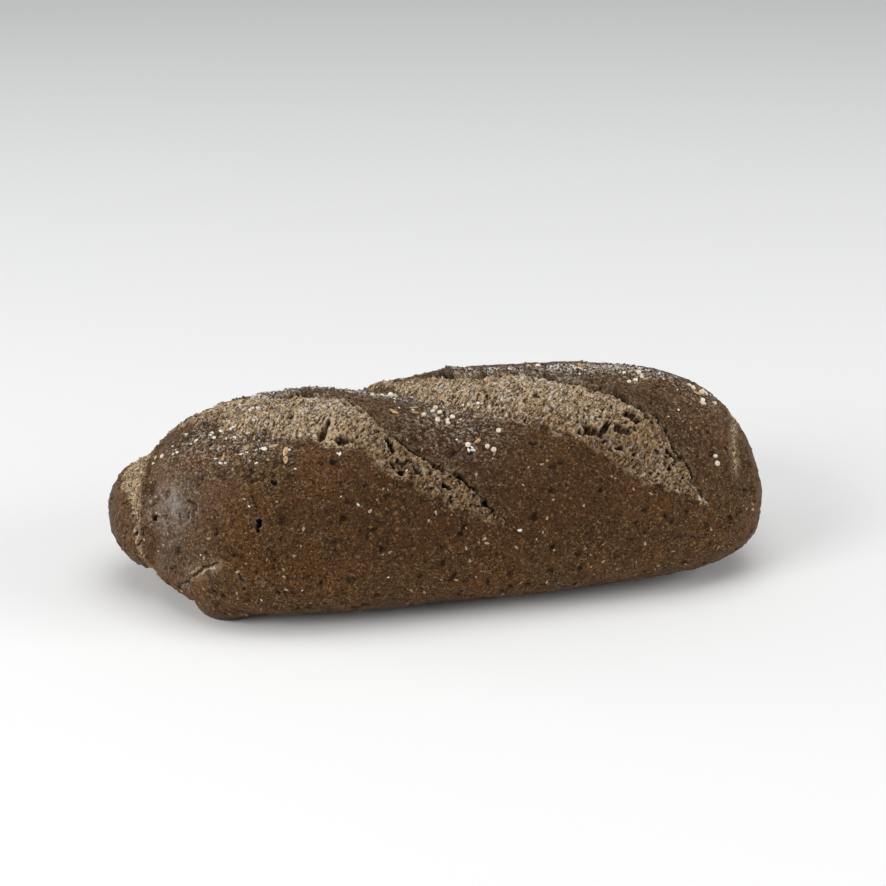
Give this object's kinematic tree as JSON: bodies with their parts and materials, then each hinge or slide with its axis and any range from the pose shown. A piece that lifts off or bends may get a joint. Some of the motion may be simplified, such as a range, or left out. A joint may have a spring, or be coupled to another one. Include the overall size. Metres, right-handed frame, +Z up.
{
  "type": "long wholegrain bread loaf",
  "caption": "Long dark wholegrain loaf with a round crown, flat base, slanting torn cuts, a folded end with a foot and seeds on the crust.",
  "frame": {"origin": "centre of the loaf's flat base, on the surface it rests on", "axes": "+X along the loaf towards its plain rounded end, +Z up, -Y the front with the lower ends of the cuts"},
  "size_m": [0.285, 0.1338, 0.0899],
  "materials": {
    "crust": "dark brown baked crust, dull with a faint sheen, dusted with flour",
    "crumb": "dull torn greyish brown crumb",
    "seeds": "smooth pale and golden seed coats with a slight sheen",
    "flour": "dull pale flour and grain flakes"
  },
  "bodies": {
    "root": {"loaf": "crust"}
  },
  "joints": []
}
